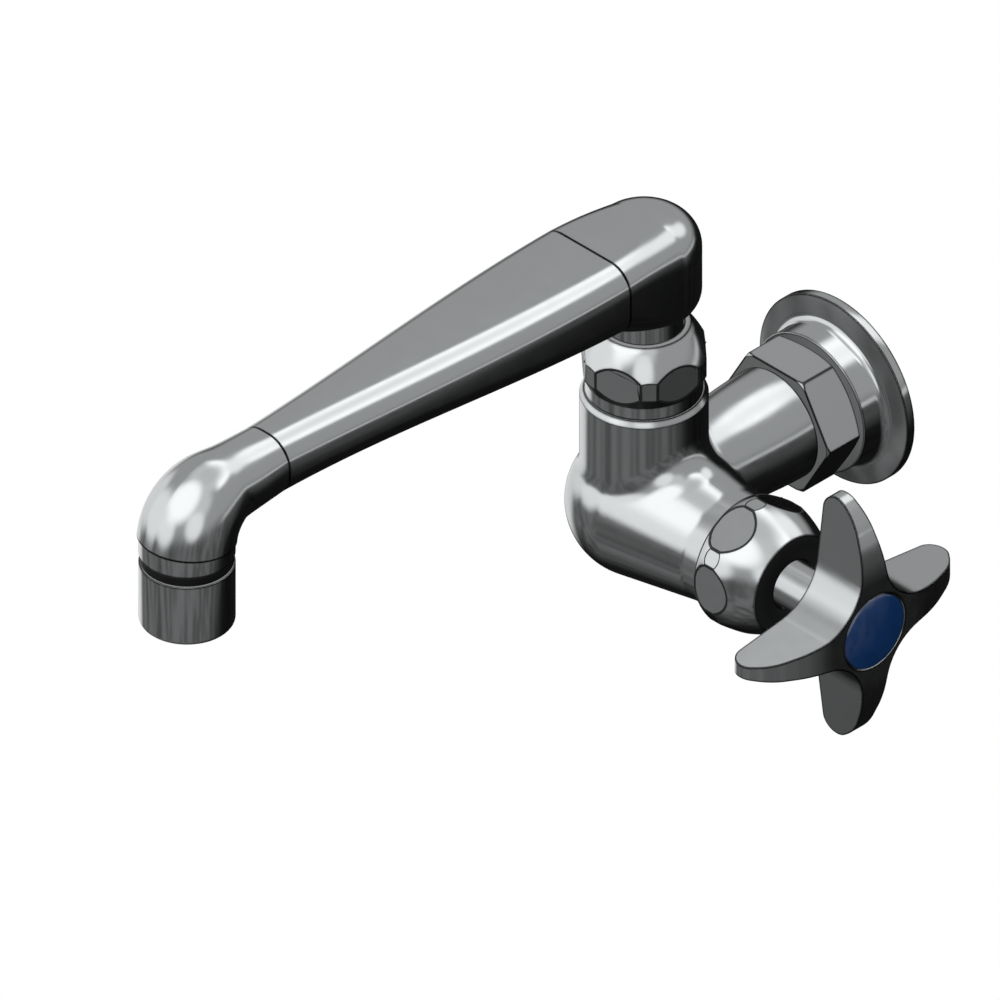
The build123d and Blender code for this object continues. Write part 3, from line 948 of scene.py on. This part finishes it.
def combine(piece, tool, operation):
    """Joins, cuts or keeps what is common with a tool, which is then thrown away."""
    only(piece)
    change = piece.modifiers.new("combine", "BOOLEAN")
    change.object = tool
    change.operation = operation
    change.solver = "EXACT"
    bpy.ops.object.modifier_apply(modifier="combine")
    bpy.data.objects.remove(tool)


# seen from the front: four arms that taper to 3.5 mm at the tips, with wide fillets between
arm = [(arm_reach, -1.75, 0), (arm_reach, 1.75, 0), (5.48, 5.48, 14)]
cross = []
for quarter in range(4):
    for a, b, rounding in arm:
        for turn in range(quarter):
            a, b = -b, a
        cross.append((a, b, rounding))
handle = prism("four_arm_handle", cross, handle_back, handle_front)
# seen from the side: a flat back and a front that falls toward the tips
fall = [
    (arm_reach, handle_back, 4.0),
    (arm_reach, 67.5, 4.5),
    (30, 72.6, 14.0),
    (19, handle_front, 28.0),
]
fall += [(-a, b, rounding) for a, b, rounding in reversed(fall)]
for turn in (0, 90):
    side = prism("side_form", fall, -40, 40)
    on_edge = Matrix.Rotation(radians(90), 4, "X")
    side.data.transform(Matrix.Rotation(radians(turn), 4, "Z") @ on_edge)
    combine(handle, side, "INTERSECT")
soften = handle.modifiers.new("tumbled_edges", "BEVEL")
soften.width = 1.1 * MM
soften.segments = 5
soften.limit_method = "ANGLE"
soften.angle_limit = radians(40)
only(handle)
bpy.ops.object.modifier_apply(modifier="tumbled_edges")
neck = spun("neck", [(0, 47.2, 0), (5.9, 47.2, 0.3), (5.9, 64.0, 0), (0, 64.0, 0)])
combine(handle, neck, "UNION")
# one stepped hole, for the spindle's tang, the screw, the screw's head and the button
pocket = spun(
    "pocket",
    [
        (0, 46, 0),
        (4.03, 46, 0),
        (4.03, 66.6, 0),
        (2.6, 66.6, 0),
        (2.6, 69.0, 0),
        (5.0, 69.0, 0),
        (5.0, 74.6, 0),
        (9.9, 74.6, 0),
        (9.9, 76.7, 0),
        (10.2, 77.1, 0),
        (10.2, 79.0, 0),
        (0, 79.0, 0),
    ],
)
combine(handle, pocket, "DIFFERENCE")
clean_up(handle, 32)
weighted = handle.modifiers.new("even_faces", "WEIGHTED_NORMAL")
weighted.keep_sharp = True
bpy.ops.object.modifier_apply(modifier="even_faces")
# chrome on cast zinc: a softer mirror than on brass, with a short swell from tumbling
zinc_chrome = chrome_plate(
    "chrome_on_cast_zinc", "chrome", "#C4C7C8", roughness=0.21, swell=0.030, swell_size=12
)
fitted(handle, "cross_handle", zinc_chrome, "handle", lay=along_x)


# ---------------------------------------------------------------------------
# Index button: a domed cap moulded in dark blue ABS, snapped in the handle's
# front to hide its screw and to mark cold water. It is bare, with no letter.
# ---------------------------------------------------------------------------
# glossy moulded ABS: deep blue with a soft shine, its skin scuffed very finely
blue = matter(
    "blue_abs_plastic",
    "blue_plastic",
    "#0D376C",
    "#0A2A54",
    roughness=0.12,
    grain=0.6,
    relief=0.006,
    shine=0.9,
)
button = spun(
    "blue_button",
    [(0, 74.6, 0), (9.6, 74.6, 0), (9.6, 77.2, 0.5)]
    + dome((9.1, 77.40), (4.9, 78.69), (0.02, 79.19))
    + [(0, 79.2, 0)],
)
fitted(button, "index_button", blue, "handle", lay=along_x)


# ---------------------------------------------------------------------------
# Inner pieces, which keep their solids' shapes: the brass valve unit with its
# seat, fibre gaskets, rubber rings, plastic washers and the aerator's inside.
# ---------------------------------------------------------------------------
def give(material, *names):
    """Gives the pieces that keep their solids' shapes a material."""
    for name in names:
        for place in nodes[name].material_slots:
            place.material = material


# turned brass: warm yellow, with a fine grain from the lathe and a brown tarnish in patches
brass = matter(
    "turned_brass",
    "brass",
    "#C9A45C",
    "#9C7A3C",
    roughness=0.30,
    grain=0.35,
    relief=0.008,
    metallic=1.0,
)
give(brass, "valve_seat", "bonnet_sleeve", "spindle", "plunger", "seat_washer_screw")
# the spout's swivel tube is chromed where its neck shows under the elbow
give(turned_chrome, "swivel_tube")
# drawn stainless steel: greyer than chrome, with a very fine grain
steel = matter(
    "drawn_stainless_steel",
    "stainless_steel",
    "#B4B2AE",
    "#98968F",
    roughness=0.33,
    grain=0.15,
    relief=0.005,
    metallic=1.0,
)
give(steel, "handle_screw", "aerator_screen")
# pressed fibre: red brown paper board with a rough, fibrous face
fibre = matter(
    "red_vulcanised_fibre",
    "fibre",
    "#7A3B2E",
    "#5B2A22",
    roughness=0.75,
    grain=0.3,
    relief=0.040,
)
give(fibre, "inlet_gasket", "bonnet_gasket")
give(rubber, "swivel_o_rings", "spindle_o_rings", "aerator_washer", "seat_washer")
# natural acetal: milky white and slightly waxy
acetal = matter(
    "white_acetal_plastic",
    "bearing_plastic",
    "#E4E2DA",
    "#D6D3C8",
    roughness=0.38,
    grain=0.5,
    relief=0.006,
)
give(acetal, "thrust_washer", "spindle_washer", "aerator_insert")

# like the photograph, which mirrors only its studio, the pieces don't mirror one another
for piece in bpy.data.objects:
    if piece.type == "MESH" and piece not in (floor, tent):
        piece.visible_glossy = False
